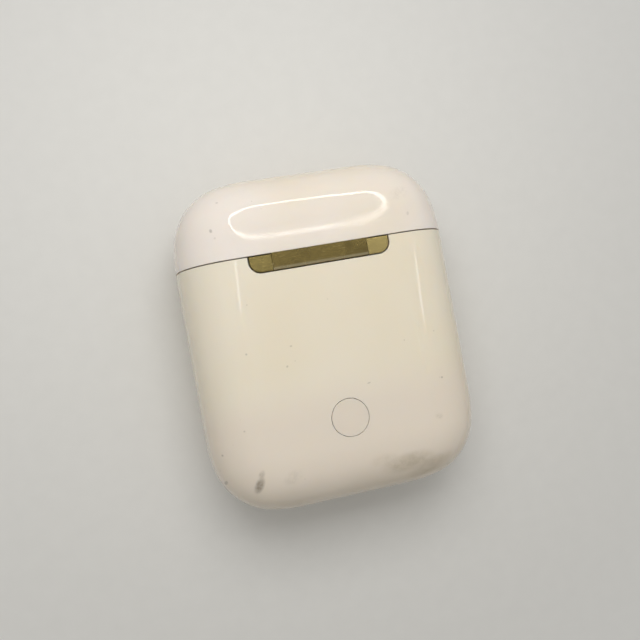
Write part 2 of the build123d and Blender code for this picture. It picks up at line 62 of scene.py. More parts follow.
def addNode(tree, kind, inputs=None, **settings):  # adds a node, with its settings, values and links
    node = tree.nodes.new(kind)
    for name, value in settings.items():
        setattr(node, name, value)
    for key, value in (inputs or {}).items():
        if isinstance(value, bpy.types.NodeSocket):
            tree.links.new(value, node.inputs[key])
        else:
            node.inputs[key].default_value = value
    return node


def perMetre(size):  # texture scale for a pattern whose features are size millimetres across
    return 1000.0 / size


def addObject(name, data):  # a new object, linked into the scene
    thing = bpy.data.objects.new(name, data)
    bpy.context.scene.collection.objects.link(thing)
    return thing


def startMaterial(name):  # a new material, with its tree, its shader and coordinates fixed to the object
    material = bpy.data.materials.new(name)
    material.use_nodes = True
    tree = material.node_tree
    coords = addNode(tree, "ShaderNodeTexCoord").outputs["Object"]
    return material, tree, tree.nodes["Principled BSDF"], coords


# Sparse scratches that run at one angle, as a mask. Real ones are about 0.01 mm wide: these are drawn as much coarser
# as they need to be to show.
def hairlines(tree, coords, angle, length, width, cover):
    tilt = (0.3, 0.2, math.radians(angle))  # a little tilt, so that no face looks along the lines
    turned = addNode(tree, "ShaderNodeMapping", {"Vector": coords, "Rotation": tilt,
                                                 "Scale": (perMetre(length), perMetre(width), perMetre(length))})
    streak = addNode(tree, "ShaderNodeTexNoise", {"Vector": turned.outputs[0], "Scale": 1.0, "Detail": 1.0,
                                                  "Roughness": 0.4})
    return addNode(tree, "ShaderNodeMapRange", {"Value": streak.outputs["Fac"], "From Min": cover,
                                                "From Max": cover + 0.05}, clamp=True).outputs[0]


def stainAt(tree, coords, centre, size, turn, grain, broken):  # a soft blotch round one point, as a mask
    turned = addNode(tree, "ShaderNodeVectorRotate", {"Vector": coords, "Center": [c * mm for c in centre],
                                                      "Axis": (0.0, 0.0, 1.0), "Angle": math.radians(-turn)})
    offset = addNode(tree, "ShaderNodeMapping", {"Vector": turned.outputs[0],
                                                 "Location": [-c / s for c, s in zip(centre, size)],
                                                 "Scale": [1 / (s * mm) for s in size]})
    reach = addNode(tree, "ShaderNodeVectorMath", {0: offset.outputs[0]}, operation="LENGTH")
    core = addNode(tree, "ShaderNodeMapRange", {"Value": reach.outputs["Value"], "From Min": 1.0, "From Max": 0.3},
                   interpolation_type="SMOOTHSTEP")
    cloud = addNode(tree, "ShaderNodeTexNoise", {"Vector": coords, "Scale": perMetre(grain), "Detail": 6.0,
                                                 "Roughness": 0.65})
    rough = addNode(tree, "ShaderNodeMapRange", {"Value": cloud.outputs["Fac"], "From Min": 0.42, "From Max": 0.62,
                                                 "To Min": 1.0 - broken})
    return addNode(tree, "ShaderNodeMath", {0: core.outputs[0], 1: rough.outputs[0]}, operation="MULTIPLY").outputs[0]


print("camera")
cameraSetup = {"place": (-19.332, 0.519, 122.629),  # millimetres, in the object's own frame
               "turn": (0.01651, -0.17013, -0.17952),  # radians about X, Y and Z
               "lens": 38.113, "sensor": 36.0}
camera = addObject("camera", bpy.data.cameras.new("camera"))
camera.data.lens = cameraSetup["lens"]
camera.data.sensor_width = cameraSetup["sensor"]
camera.data.clip_start = 0.005
camera.data.clip_end = 20.0
facing = Euler(cameraSetup["turn"], "ZYX").to_matrix().to_4x4()
camera.matrix_world = Matrix.Translation(Vector(cameraSetup["place"]) * mm) @ facing
bpy.context.scene.camera = camera

print("studio")
studio = {"floorColour": "#DEDCD7", "floorSecond": "#E3E1DC", "floorSize": 6.0, "floorGap": 0.02 * mm,
          "floorFade": (0.045, 0.2),  # the distances between which the paper blends into the background
          "worldColour": "#F1F1EF", "worldSeen": 0.74, "worldFacing": (0.12, 0.40, 0.91),
          "worldSpan": (-0.5, 1.0), "worldDim": 0.33, "worldBright": 0.56, "lampAim": (0, 0, 0.01),
          "lamps": [  # name, place, size along and across, plan angle of the long side, watts, seen in gloss
              ("keyBox", (-0.008, 0.064, 0.140), (0.11, 0.08), 0.0, 0.116, False),
              ("rightStrip", (0.345, 0.027, 0.511), (0.089, 0.020), 44.0, 0.015, True),
              ("leftStrip", (-0.020, 0.054, 0.511), (0.067, 0.011), 44.4, 0.009, True),
          ],
          "halo": {"height": 0.511, "colour": "#FFFBF2", "glow": 8.0, "stepsEach": 8,
                   "loop": [  # the middle of the band of light and its half width at each point, in millimetres
                       ((93, 91), 1.2), ((120, 91), 1.4), ((140, 92), 1.7), ((152, 94), 2), ((158, 104), 3),
                       ((168, 141), 4), ((180, 184), 4), ((192, 230), 5), ((202, 272), 6), ((208, 320), 9),
                       ((206, 384), 14), ((187, 450), 21), ((162, 500), 25), ((125, 540), 28), ((92, 560), 29),
                       ((60, 545), 26), ((13, 491), 22), ((-13, 432), 16), ((-22, 379), 12), ((-36, 337), 9),
                       ((-46, 297), 8), ((-38, 254), 7), ((-27, 213), 6), ((-13, 179), 5.5), ((4, 148), 5),
                       ((19, 118), 4), ((27, 95), 1.8), ((31, 93), 1.4), ((50, 91), 1.2)]}}
# Uncoated paper, off the roll. The eye reads a soft even pale ground with hardly any gloss.
floorMaterial, tree, shader, coords = startMaterial("paleMattePaper")
grain = addNode(tree, "ShaderNodeTexNoise", {"Vector": coords, "Scale": perMetre(3.0), "Detail": 3.0})
tone = addNode(tree, "ShaderNodeMix", {0: grain.outputs["Fac"], 6: linearColour(studio["floorColour"]),
                                       7: linearColour(studio["floorSecond"])}, data_type="RGBA")
tree.links.new(tone.outputs[2], shader.inputs["Base Color"])
shader.inputs["Roughness"].default_value = 0.9
shader.inputs["Specular IOR Level"].default_value = 0.2
# far from the object the paper looks as evenly pale as the background, as a studio sweep does
path = addNode(tree, "ShaderNodeLightPath")
seen = addNode(tree, "ShaderNodeMath", {0: path.outputs["Is Camera Ray"], 1: path.outputs["Is Glossy Ray"]},
               operation="MAXIMUM")
reach = addNode(tree, "ShaderNodeVectorMath", {0: coords}, operation="LENGTH")
far = addNode(tree, "ShaderNodeMapRange", {"Value": reach.outputs["Value"], "From Min": studio["floorFade"][0],
                                           "From Max": studio["floorFade"][1], "To Max": seen.outputs[0]},
              interpolation_type="SMOOTHSTEP")
glow = addNode(tree, "ShaderNodeEmission", {"Color": linearColour(studio["worldColour"]),
                                            "Strength": studio["worldSeen"]})
blend = addNode(tree, "ShaderNodeMixShader", {0: far.outputs[0], 1: shader.outputs[0], 2: glow.outputs[0]})
tree.links.new(blend.outputs[0], tree.nodes["Material Output"].inputs["Surface"])
half = studio["floorSize"] / 2
floorMesh = bpy.data.meshes.new("floor")
floorMesh.from_pydata([(-half, -half, 0), (half, -half, 0), (half, half, 0), (-half, half, 0)], [], [(0, 1, 2, 3)])
floorMesh.materials.append(floorMaterial)
floor = addObject("floor", floorMesh)
floor.location.z = cadBounds[0][2] - studio["floorGap"]

world = bpy.data.worlds.new("studioWorld")
bpy.context.scene.world = world
world.use_nodes = True
tree = world.node_tree
tree.nodes.clear()
path = addNode(tree, "ShaderNodeLightPath")
direction = addNode(tree, "ShaderNodeTexCoord").outputs["Generated"]
towards = addNode(tree, "ShaderNodeVectorMath", {0: direction, 1: studio["worldFacing"]}, operation="DOT_PRODUCT")
lit = addNode(tree, "ShaderNodeMapRange", {"Value": towards.outputs["Value"], "From Min": studio["worldSpan"][0],
                                           "From Max": studio["worldSpan"][1], "To Min": studio["worldDim"],
                                           "To Max": studio["worldBright"]}, interpolation_type="SMOOTHSTEP")
# where it is seen, straight or in gloss, the background is evenly pale
seen = addNode(tree, "ShaderNodeMath", {0: path.outputs["Is Camera Ray"], 1: path.outputs["Is Glossy Ray"]},
               operation="MAXIMUM")
through = addNode(tree, "ShaderNodeMath", {0: seen.outputs[0], 1: path.outputs["Is Transmission Ray"]},
                  operation="MAXIMUM")
strength = addNode(tree, "ShaderNodeMix", {0: through.outputs[0], 2: lit.outputs[0], 3: studio["worldSeen"]})
sky = addNode(tree, "ShaderNodeBackground", {"Color": linearColour(studio["worldColour"]),
                                             "Strength": strength.outputs[0]})
addNode(tree, "ShaderNodeOutputWorld", {"Surface": sky.outputs[0]})

for name, place, size, turn, watts, glossy in studio["lamps"]:
    lamp = bpy.data.lights.new(name, "AREA")
    lamp.shape = "RECTANGLE"
    lamp.size, lamp.size_y = size
    lamp.energy = watts
    holder = addObject(name, lamp)
    holder.location = place
    back = (Vector(place) - Vector(studio["lampAim"])).normalized()  # a lamp shines along its own -Z
    along = Vector((math.cos(math.radians(turn)), math.sin(math.radians(turn)), 0))
    across = back.cross(along).normalized()
    holder.rotation_euler = Matrix((across.cross(back), across, back)).transposed().to_euler()
    holder.visible_camera = False
    holder.visible_glossy = glossy

# a flat loop of light, thin on its near side and wide on its far side, smoothed as a cubic spline
loop = [np.array([*middle, halfWidth]) for middle, halfWidth in studio["halo"]["loop"]]
stepsEach = studio["halo"]["stepsEach"]
haloPoints, haloFaces, haloSteps = [], [], stepsEach * len(loop)
for k in range(haloSteps):
    here, share = divmod(k / stepsEach, 1)
    four = [loop[(int(here) + j) % len(loop)] for j in (-1, 0, 1, 2)]
    weights = np.array([(1 - share) ** 3, 3 * share ** 3 - 6 * share ** 2 + 4,
                        -3 * share ** 3 + 3 * share ** 2 + 3 * share + 1, share ** 3]) / 6
    slopes = np.array([-(1 - share) ** 2, 3 * share ** 2 - 4 * share, -3 * share ** 2 + 2 * share + 1,
                       share ** 2]) / 2
    middle, along = weights @ four, (slopes @ four)[:2]
    side = np.array([along[1], -along[0]]) / np.linalg.norm(along) * middle[2]
    for x, y in (middle[:2] - side, middle[:2] + side):
        haloPoints.append((x * mm, y * mm, studio["halo"]["height"]))
    haloFaces.append((2 * k, 2 * k + 1, (2 * k + 3) % (2 * haloSteps), (2 * k + 2) % (2 * haloSteps)))
haloMesh = bpy.data.meshes.new("halo")
haloMesh.from_pydata(haloPoints, [], haloFaces)
haloMaterial, tree, shader, coords = startMaterial("haloLight")
shader.inputs["Base Color"].default_value = linearColour("#FFFFFF")
shader.inputs["Emission Color"].default_value = linearColour(studio["halo"]["colour"])
shader.inputs["Emission Strength"].default_value = studio["halo"]["glow"]
haloMesh.materials.append(haloMaterial)
halo = addObject("halo", haloMesh)
halo.visible_camera = False
halo.visible_diffuse = False
bpy.context.scene.view_settings.view_transform = "Standard"

print("shell plastic")
shellFinish = {"body": "#E9DFCB", "lid": "#ECE2D8", "cap": "#E2D8C4", "aged": "#E2D2B0", "pink": "#E2D5C6",
               "gap": "#6A5B42", "grimeAndSeamShade": "#8A7550", "scuff": "#6C5E4A", "stainAndShade": "#8F7C52",
               "seamDirtAndShade": 0.22, "rimDirtAndShade": 0.08, "ior": 1.58, "roughness": 0.035, "smeared": 0.05,
               "paintedReflectionSpan": (-5.0, -13.0), "paintedReflectionShare": 0.7,  # this span and the next are along Y, in millimetres
               "lowSpan": (-20.5, -26.0), "lowShare": 0.4,
               "seam": 13.4, "seamSpan": (0.2, 0.08),  # its place along Y, and how far the dirt and painted shade in it reach
               "ageing": 26.0, "lowEndMottle": 9.0, "specks": 3.0, "smears": 7.0, "ripple": 1.6,  # sizes in millimetres
               "hairlines": [(24, 7.0, 0.09, 0.76), (-51, 5.0, 0.08, 0.77)],  # angle, length, width, cover
               "milkiness": 0.25, "milkReach": 1.2, "milkSpread": (1.0, 0.75, 0.45),  # light that scatters inside
               # handling marks, the stains on the lower end weighted darker as painted shade: centre and half sizes
               # in millimetres, turn, grain, how broken up, tone, weight
               "marks": [
                   ((-15.3, -20.6, 20.3), (0.85, 1.9, 2.5), -28, 0.6, 0.3, "scuff", 0.72),
                   ((-14.7, -18.9, 20.9), (0.6, 0.9, 2.0), -28, 0.5, 0.5, "scuff", 0.32),
                   ((-20.1, -19.8, 16.5), (0.35, 0.75, 1.6), -35, 0.4, 0.3, "scuff", 0.5),
                   ((8.0, -21.9, 20.4), (5.2, 2.0, 3.4), 6, 2.0, 0.5, "stainAndShade", 0.38),
                   ((11.5, -23.4, 19.2), (5.0, 2.0, 3.4), 20, 2.6, 0.4, "stainAndShade", 0.38),
                   ((4.2, -20.8, 20.8), (2.8, 1.4, 3.0), 0, 1.4, 0.6, "stainAndShade", 0.14),
                   ((-10.0, -20.3, 20.9), (2.2, 1.3, 3.0), 20, 1.2, 0.8, "scuff", 0.14),
                   ((-15.7, 18.2, 20.7), (0.3, 0.42, 2.0), 10, 0.5, 0.2, "scuff", 0.42),
                   ((-15.3, 17.0, 20.9), (0.24, 0.24, 2.0), 0, 0.5, 0.2, "scuff", 0.18),
                   ((-14.0, 22.5, 19.6), (0.3, 0.2, 2.0), 0, 0.5, 0.2, "scuff", 0.25),
                   ((14.0, 19.5, 20.0), (2.4, 1.4, 3.0), 20, 0.7, 0.9, "scuff", 0.12),
                   ((-7.0, -0.9, 21.3), (0.28, 0.2, 2.0), 0, 0.5, 0.2, "scuff", 0.3),
                   ((-8.1, -3.8, 21.3), (0.26, 0.2, 2.0), 40, 0.5, 0.2, "scuff", 0.35),
                   ((-13.8, -0.9, 21.3), (0.22, 0.22, 2.0), 0, 0.5, 0.2, "scuff", 0.35),
                   ((3.8, -8.6, 21.3), (0.4, 0.16, 2.0), 10, 0.5, 0.2, "scuff", 0.3),
                   ((15.5, -10.0, 21.0), (0.25, 0.22, 2.0), 0, 0.5, 0.2, "scuff", 0.45),
                   ((-16.1, -12.1, 20.6), (0.22, 0.2, 2.0), 0, 0.5, 0.2, "scuff", 0.3),
                   ((-19.9, -15.3, 18.8), (0.24, 0.24, 2.6), 0, 0.5, 0.2, "scuff", 0.4),
                   ((14.9, 16.2, 20.9), (0.3, 0.42, 2.0), -20, 0.5, 0.4, "scuff", 0.26),
                   ((13.8, -15.8, 20.8), (0.9, 0.7, 2.0), 0, 0.6, 0.7, "scuff", 0.16)]}


# Polycarbonate blend, moulded and polished. The eye reads an even wet gloss, slight yellowing and handling marks,
# with painted reflection and shade on the lower end and painted shade in the seam and the notch.
def polishedPolycarbonate(name, colourHex, seamDirtAndShade):
    material, tree, shader, coords = startMaterial(name)
    clouds = addNode(tree, "ShaderNodeTexNoise", {"Vector": coords, "Scale": perMetre(shellFinish["ageing"]),
                                                   "Detail": 2.0})
    ageing = addNode(tree, "ShaderNodeMapRange", {"Value": clouds.outputs["Fac"], "From Min": 0.42, "From Max": 0.75,
                                                  "To Max": 0.55})
    colour = addNode(tree, "ShaderNodeMix", {0: ageing.outputs[0], 6: linearColour(colourHex),
                                             7: linearColour(shellFinish["aged"])}, data_type="RGBA").outputs[2]
    # painted reflection and shade: the end away from the lid is painted pinker and a little darker than the middle
    places = addNode(tree, "ShaderNodeSeparateXYZ", {0: coords})
    pinkFrom, pinkTo = shellFinish["paintedReflectionSpan"]
    paintedPinkReflection = addNode(tree, "ShaderNodeMapRange", {"Value": places.outputs["Y"], "From Min": pinkFrom * mm,
                                                  "From Max": pinkTo * mm, "To Max": shellFinish["paintedReflectionShare"]},
                     interpolation_type="SMOOTHSTEP")
    colour = addNode(tree, "ShaderNodeMix", {0: paintedPinkReflection.outputs[0], 6: colour,
                                             7: linearColour(shellFinish["pink"])}, data_type="RGBA").outputs[2]
    # dirt settled in the line between body and lid, with painted shade that darkens that line
    seamMarkStart, seamMarkFull = shellFinish["seamSpan"]
    pastSeam = addNode(tree, "ShaderNodeMath", {0: places.outputs["Y"], 1: shellFinish["seam"] * mm},
                       operation="SUBTRACT")
    fromSeam = addNode(tree, "ShaderNodeMath", {0: pastSeam.outputs[0]}, operation="ABSOLUTE")
    settledAndShaded = addNode(tree, "ShaderNodeMapRange", {"Value": fromSeam.outputs[0], "From Min": seamMarkStart * mm,
                                                   "From Max": seamMarkFull * mm, "To Max": seamDirtAndShade})
    colour = addNode(tree, "ShaderNodeMix", {0: settledAndShaded.outputs[0], 6: colour,
                                             7: linearColour(shellFinish["grimeAndSeamShade"])}, data_type="RGBA").outputs[2]
    # the base is browner: handling grime, and painted shade that darkens the lower end
    lowFrom, lowTo = shellFinish["lowSpan"]
    low = addNode(tree, "ShaderNodeMapRange", {"Value": places.outputs["Y"], "From Min": lowFrom * mm,
                                               "From Max": lowTo * mm, "To Max": shellFinish["lowShare"]},
                  interpolation_type="SMOOTHSTEP")
    handledAndShaded = addNode(tree, "ShaderNodeTexNoise", {"Vector": coords, "Scale": perMetre(shellFinish["lowEndMottle"]),
                                                   "Detail": 4.0})
    share = addNode(tree, "ShaderNodeMath", {0: low.outputs[0], 1: handledAndShaded.outputs["Fac"]}, operation="MULTIPLY")
    colour = addNode(tree, "ShaderNodeMix", {0: share.outputs[0], 6: colour,
                                             7: linearColour(shellFinish["stainAndShade"])}, data_type="RGBA").outputs[2]
    for centre, size, turn, grain, broken, tone, weight in shellFinish["marks"]:
        mask = stainAt(tree, coords, centre, size, turn, grain, broken)
        share = addNode(tree, "ShaderNodeMath", {0: mask, 1: weight}, operation="MULTIPLY")
        colour = addNode(tree, "ShaderNodeMix", {0: share.outputs[0], 6: colour,
                                                 7: linearColour(shellFinish[tone])}, data_type="RGBA").outputs[2]
    # specks of grime, drawn as large as they need to be to show
    specks = addNode(tree, "ShaderNodeTexVoronoi", {"Vector": coords, "Scale": perMetre(shellFinish["specks"])})
    dots = addNode(tree, "ShaderNodeMapRange", {"Value": specks.outputs["Distance"], "From Min": 0.05,
                                                "From Max": 0.02, "To Max": 0.25})
    colour = addNode(tree, "ShaderNodeMix", {0: dots.outputs[0], 6: colour,
                                             7: linearColour(shellFinish["grimeAndSeamShade"])}, data_type="RGBA").outputs[2]
    tree.links.new(colour, shader.inputs["Base Color"])
    # gloss, dulled a little by fingers and by hairlines
    smears = addNode(tree, "ShaderNodeTexNoise", {"Vector": coords, "Scale": perMetre(shellFinish["smears"]),
                                                  "Detail": 5.0, "Roughness": 0.6})
    dulled = addNode(tree, "ShaderNodeMapRange", {"Value": smears.outputs["Fac"], "From Min": 0.4, "From Max": 0.7,
                                                  "To Min": shellFinish["roughness"],
                                                  "To Max": shellFinish["roughness"] + shellFinish["smeared"]})
    first, second = [hairlines(tree, coords, *look) for look in shellFinish["hairlines"]]
    lines = addNode(tree, "ShaderNodeMath", {0: first, 1: second}, operation="ADD")
    gloss = addNode(tree, "ShaderNodeMath", {0: lines.outputs[0], 1: 0.1, 2: dulled.outputs[0]},
                    operation="MULTIPLY_ADD")
    tree.links.new(gloss.outputs[0], shader.inputs["Roughness"])
    # a ripple from the mould and the hairlines' own depth
    ripple = addNode(tree, "ShaderNodeTexNoise", {"Vector": coords, "Scale": perMetre(shellFinish["ripple"]),
                                                  "Detail": 2.0})
    height = addNode(tree, "ShaderNodeMath", {0: lines.outputs[0], 1: -0.12, 2: ripple.outputs["Fac"]},
                     operation="MULTIPLY_ADD")
    bump = addNode(tree, "ShaderNodeBump", {"Strength": 0.04, "Distance": 0.02 * mm, "Height": height.outputs[0]})
    tree.links.new(bump.outputs[0], shader.inputs["Normal"])
    shader.inputs["IOR"].default_value = shellFinish["ior"]
    shader.inputs["Subsurface Weight"].default_value = shellFinish["milkiness"]
    shader.inputs["Subsurface Radius"].default_value = shellFinish["milkSpread"]
    shader.inputs["Subsurface Scale"].default_value = shellFinish["milkReach"] * mm
    return material


# the seam weights paint dirt and shade into the line between body and lid
bodyPlastic = polishedPolycarbonate("polishedPolycarbonateBody", shellFinish["body"], shellFinish["seamDirtAndShade"])
lidPlastic = polishedPolycarbonate("polishedPolycarbonateLid", shellFinish["lid"], shellFinish["seamDirtAndShade"])
rimPlastic = polishedPolycarbonate("polishedPolycarbonateRim", shellFinish["body"], shellFinish["rimDirtAndShade"])
notchPlastic = polishedPolycarbonate("polishedPolycarbonateNotch", shellFinish["gap"], 0.0)  # dirt packed in the pocket, and painted shade darkening the gap round the hinge
capPlastic = polishedPolycarbonate("polishedPolycarbonateCap", shellFinish["cap"], 0.0)

print("inner mouldings")
insertFinish = {"colour": "#E9E4DA", "worn": "#D8D0BF", "roughness": 0.3, "ior": 1.58,
                "clouds": 5.0, "grit": 0.12}  # pattern sizes in millimetres
# Polycarbonate blend, moulded in a finely eroded tool. The eye reads a quiet satin white with a faint grain.
material, tree, shader, coords = startMaterial("satinMouldedPolycarbonate")
clouds = addNode(tree, "ShaderNodeTexNoise", {"Vector": coords, "Scale": perMetre(insertFinish["clouds"]),
                                              "Detail": 4.0})
shade = addNode(tree, "ShaderNodeMapRange", {"Value": clouds.outputs["Fac"], "From Min": 0.45, "From Max": 0.75,
                                             "To Max": 0.6})
tone = addNode(tree, "ShaderNodeMix", {0: shade.outputs[0], 6: linearColour(insertFinish["colour"]),
                                       7: linearColour(insertFinish["worn"])}, data_type="RGBA")
tree.links.new(tone.outputs[2], shader.inputs["Base Color"])
grit = addNode(tree, "ShaderNodeTexNoise", {"Vector": coords, "Scale": perMetre(insertFinish["grit"]),
                                            "Detail": 2.0})
gloss = addNode(tree, "ShaderNodeMapRange", {"Value": clouds.outputs["Fac"],
                                             "To Min": insertFinish["roughness"] - 0.08,
                                             "To Max": insertFinish["roughness"] + 0.1})
tree.links.new(gloss.outputs[0], shader.inputs["Roughness"])
bump = addNode(tree, "ShaderNodeBump", {"Strength": 0.25, "Distance": 0.01 * mm, "Height": grit.outputs["Fac"]})
tree.links.new(bump.outputs[0], shader.inputs["Normal"])
shader.inputs["IOR"].default_value = insertFinish["ior"]
insidePlastic = material

print("shells")
shell = {"width": 44.3, "length": 53.5, "depth": 21.3, "wall": 1.2, "easeTurn": 12.0,
         "outlineEase": 24.0, "outlineTight": 10.2, "edgeTight": 8.0, "edgeFace": 14.0,
         "bodyRim": 13.33, "lidRim": 13.47, "rimRound": 0.06, "holeRound": 0.06,
         "notchHalfWidth": 11.1, "notchLow": 10.62, "notchCorner": 1.9, "notchPast": 1.5, "notchShadeReach": 1.0,
         "buttonPlace": -13.2, "buttonHole": 2.94, "portWidth": 8.5, "portHeight": 3.4,
         "punchDepth": 2.4, "punchRise": 1.0,
         "arcSteps": 22, "easedShare": 0.35, "rimSteps": 4, "holeSteps": 5,  # how finely each curve is cut up
         "notchSteps": 12, "buttonSteps": 96, "portSteps": 24}
faceKinds = {"outside": 0, "inside": 1, "roundedRim": 2, "rim": 3, "hole": 4}  # the slots while the shells are made
easeTurn = math.radians(shell["easeTurn"])
midHeight = shell["depth"] / 2


def arcChain(endReach, easeIn, tight, easeOut):  # centres and radii of the three arcs of one quarter curve
    cosT, sinT = math.cos(easeTurn), math.sin(easeTurn)
    first = np.array([endReach[0] - easeIn, endReach[1]])
    second = first + (easeIn - tight) * np.array([cosT, sinT])
    third = second - (easeOut - tight) * np.array([sinT, cosT])
    return [(first, easeIn), (second, tight), (third, easeOut)]


def arcPick(turn):  # which of the three arcs an angle falls on
    return 0 if turn < easeTurn else 1 if turn <= math.pi / 2 - easeTurn else 2


outlineReach = (shell["outlineEase"] * (1 - math.cos(easeTurn) + math.sin(easeTurn))
                + shell["outlineTight"] * (math.cos(easeTurn) - math.sin(easeTurn)))
outlineStraight = shell["length"] / 2 - outlineReach
outlineArcs = arcChain((shell["width"] / 2, outlineStraight), shell["outlineEase"], shell["outlineTight"],
                       shell["outlineEase"])
sideRadius = (midHeight - shell["edgeTight"] * (math.cos(easeTurn) - math.sin(easeTurn))
              - shell["edgeFace"] * (1 - math.cos(easeTurn))) / math.sin(easeTurn)
edgeArcs = arcChain((0.0, 0.0), sideRadius, shell["edgeTight"], shell["edgeFace"])


def edgeOffset(turn, inward):  # how far in and how high the edge curve is, at one angle from the side
    centre, radius = edgeArcs[arcPick(abs(turn))]
    reach = radius - inward
    return centre[0] + reach * math.cos(turn), (centre[1] + reach * math.sin(abs(turn))) * (1 if turn >= 0 else -1)


def outlinePoint(turn):  # a point of the outline in the first quarter
    centre, radius = outlineArcs[arcPick(turn)]
    return centre + radius * np.array([math.cos(turn), math.sin(turn)])


def turnSteps():  # angles that meet every change of arc
    breaks = [0.0, easeTurn, math.pi / 2 - easeTurn, math.pi / 2]
    eased = max(2, round(shell["easedShare"] * shell["arcSteps"]))
    counts = [eased, shell["arcSteps"], eased]
    steps = [0.0]
    for low, high, count in zip(breaks, breaks[1:], counts):
        steps += [low + (high - low) * k / count for k in range(1, count + 1)]
    return steps


def solidMesh(name, vertices, faces, kinds):  # a mesh in metres whose material index tells each face's kind
    mesh = bpy.data.meshes.new(name)
    mesh.from_pydata([tuple(v * mm for v in point) for point in vertices], [], faces)
    mesh.polygons.foreach_set("material_index", kinds)
    work = bmesh.new()
    work.from_mesh(mesh)
    bmesh.ops.remove_doubles(work, verts=work.verts, dist=0.0005 * mm)
    bmesh.ops.recalc_face_normals(work, faces=work.faces)
    work.to_mesh(mesh)
    work.free()
    return mesh


def storeNormals(vertices, faces, kinds, normals):  # for each kind of face, a tree of places and their directions
    used = {}
    for face, kind in zip(faces, kinds):
        used.setdefault(kind, set()).update(face)
    stored = {}
    for kind, members in used.items():
        tree = KDTree(len(members))
        order = sorted(members)
        for k, index in enumerate(order):
            tree.insert([v * mm for v in vertices[index]], k)
        tree.balance()
        stored[kind] = (tree, [Vector(normals[index]) for index in order])
    return stored


def trueNormals(mesh, stored):  # shades every face with the exact direction of the form it belongs to
    mesh.polygons.foreach_set("use_smooth", [True] * len(mesh.polygons))
    shading = [None] * len(mesh.loops)
    for face in mesh.polygons:
        tree, directions = stored[face.material_index]
        for index in face.loop_indices:
            place = mesh.vertices[mesh.loops[index].vertex_index].co
            direction = directions[tree.find(place)[1]]
            shading[index] = direction if direction.dot(face.normal) > 0 else -direction
    mesh.normals_split_custom_set(shading)


def shellMesh(name, rim, towards):  # one shell, open at its rim; towards is -1 for the body, 1 for the lid
    quarter = turnSteps()
    if towards > 0:  # the lid's rim is just past the straight side
        startTurn = math.asin((rim - outlineStraight) / shell["outlineEase"])
        quarter = [startTurn] + [t for t in quarter if t > startTurn + 1e-6]
    # the outline from one side of the rim, round the end, to the other side: point and outward direction
    right = [(outlinePoint(t), np.array([math.cos(t), math.sin(t)])) for t in quarter]
    run = [(p * [1, towards], n * [1, towards]) for p, n in right]
    if towards < 0:
        run = [(np.array([shell["width"] / 2, rim - shell["rimRound"]]), np.array([1.0, 0.0]))] + run
    run += [(p * [-1, 1], n * [-1, 1]) for p, n in reversed(run)]
    edge = [-t for t in reversed(turnSteps())] + turnSteps()[1:]
    vertices, faces, kinds, normals = [], [], [], []

    def addPatch(rows, kind):  # rows of (point, normal); every four neighbours make a face
        start = len(vertices)
        across = len(rows[0])
        for row in rows:
            for point, normal in row:
                vertices.append(point)
                normals.append(normal)
        for i in range(len(rows) - 1):
            for j in range(across - 1):
                a = start + i * across + j
                faces.append((a, a + 1, a + across + 1, a + across))
                kinds.append(kind)

    def surfaceRows(inward):  # the shell's surface, this far inside the outer one
        rows = []
        for turn in edge:
            inset, rise = edgeOffset(turn, inward)
            row = []
            for point, out in run:
                flat = point + inset * out
                normal = (out[0] * math.cos(turn), out[1] * math.cos(turn), math.sin(turn))
                row.append(((flat[0], flat[1], midHeight + rise), normal))
            rows.append(row)
        return rows

    def clampRim(rows, level):  # brings the rows' ends exactly to the rim plane
        for row in rows:
            for k in (0, -1):
                (x, y, z), normal = row[k]
                row[k] = ((x, level, z), normal)
        return rows

    roundLevel = rim + towards * shell["rimRound"]
    outer = clampRim(surfaceRows(0.0), roundLevel)
    inner = clampRim(surfaceRows(shell["wall"]), rim)
    addPatch(outer, faceKinds["outside"])
    addPatch([[(p, tuple(-v for v in n)) for p, n in row] for row in inner], faceKinds["inside"])
    for rows, kind, way in ((outer, faceKinds["outside"], 1), (inner, faceKinds["inside"], -1)):
        for row, up in ((rows[0], -1), (rows[-1], 1)):  # the flat faces, front and back
            start = len(vertices)
            for point, _ in row:
                vertices.append(point)
                normals.append((0, 0, up * way))
            faces.append(tuple(range(start, start + len(row))))
            kinds.append(kind)
    # the rounded rim: the closed loop of the cross-section, rolled over to the rim plane, then across the wall
    loop = [(row[0][0], row[0][1]) for row in outer] + [(row[-1][0], row[-1][1]) for row in reversed(outer)]
    innerLoop = [row[0][0] for row in inner] + [row[-1][0] for row in reversed(inner)]
    loop.append(loop[0])
    innerLoop.append(innerLoop[0])
    rolled = []
    for k in range(shell["rimSteps"] + 1):
        roll = math.pi / 2 * k / shell["rimSteps"]
        ring = []
        for (x, _, z), (nx, _, nz) in loop:
            level = rim + towards * shell["rimRound"] * (1 - math.sin(roll))
            back = shell["rimRound"] * (1 - math.cos(roll))
            size = math.hypot(nx, nz)
            flatX, flatZ = nx / size, nz / size
            ring.append(((x - back * flatX, level, z - back * flatZ),
                         (flatX * math.cos(roll), -towards * math.sin(roll), flatZ * math.cos(roll))))
        rolled.append(ring)
    addPatch(rolled, faceKinds["roundedRim"])
    plain = (0.0, -float(towards), 0.0)
    addPatch([[(p, plain) for p, n in rolled[-1]], [(p, plain) for p in innerLoop]], faceKinds["rim"])
    return solidMesh(name, vertices, faces, kinds), storeNormals(vertices, faces, kinds, normals)


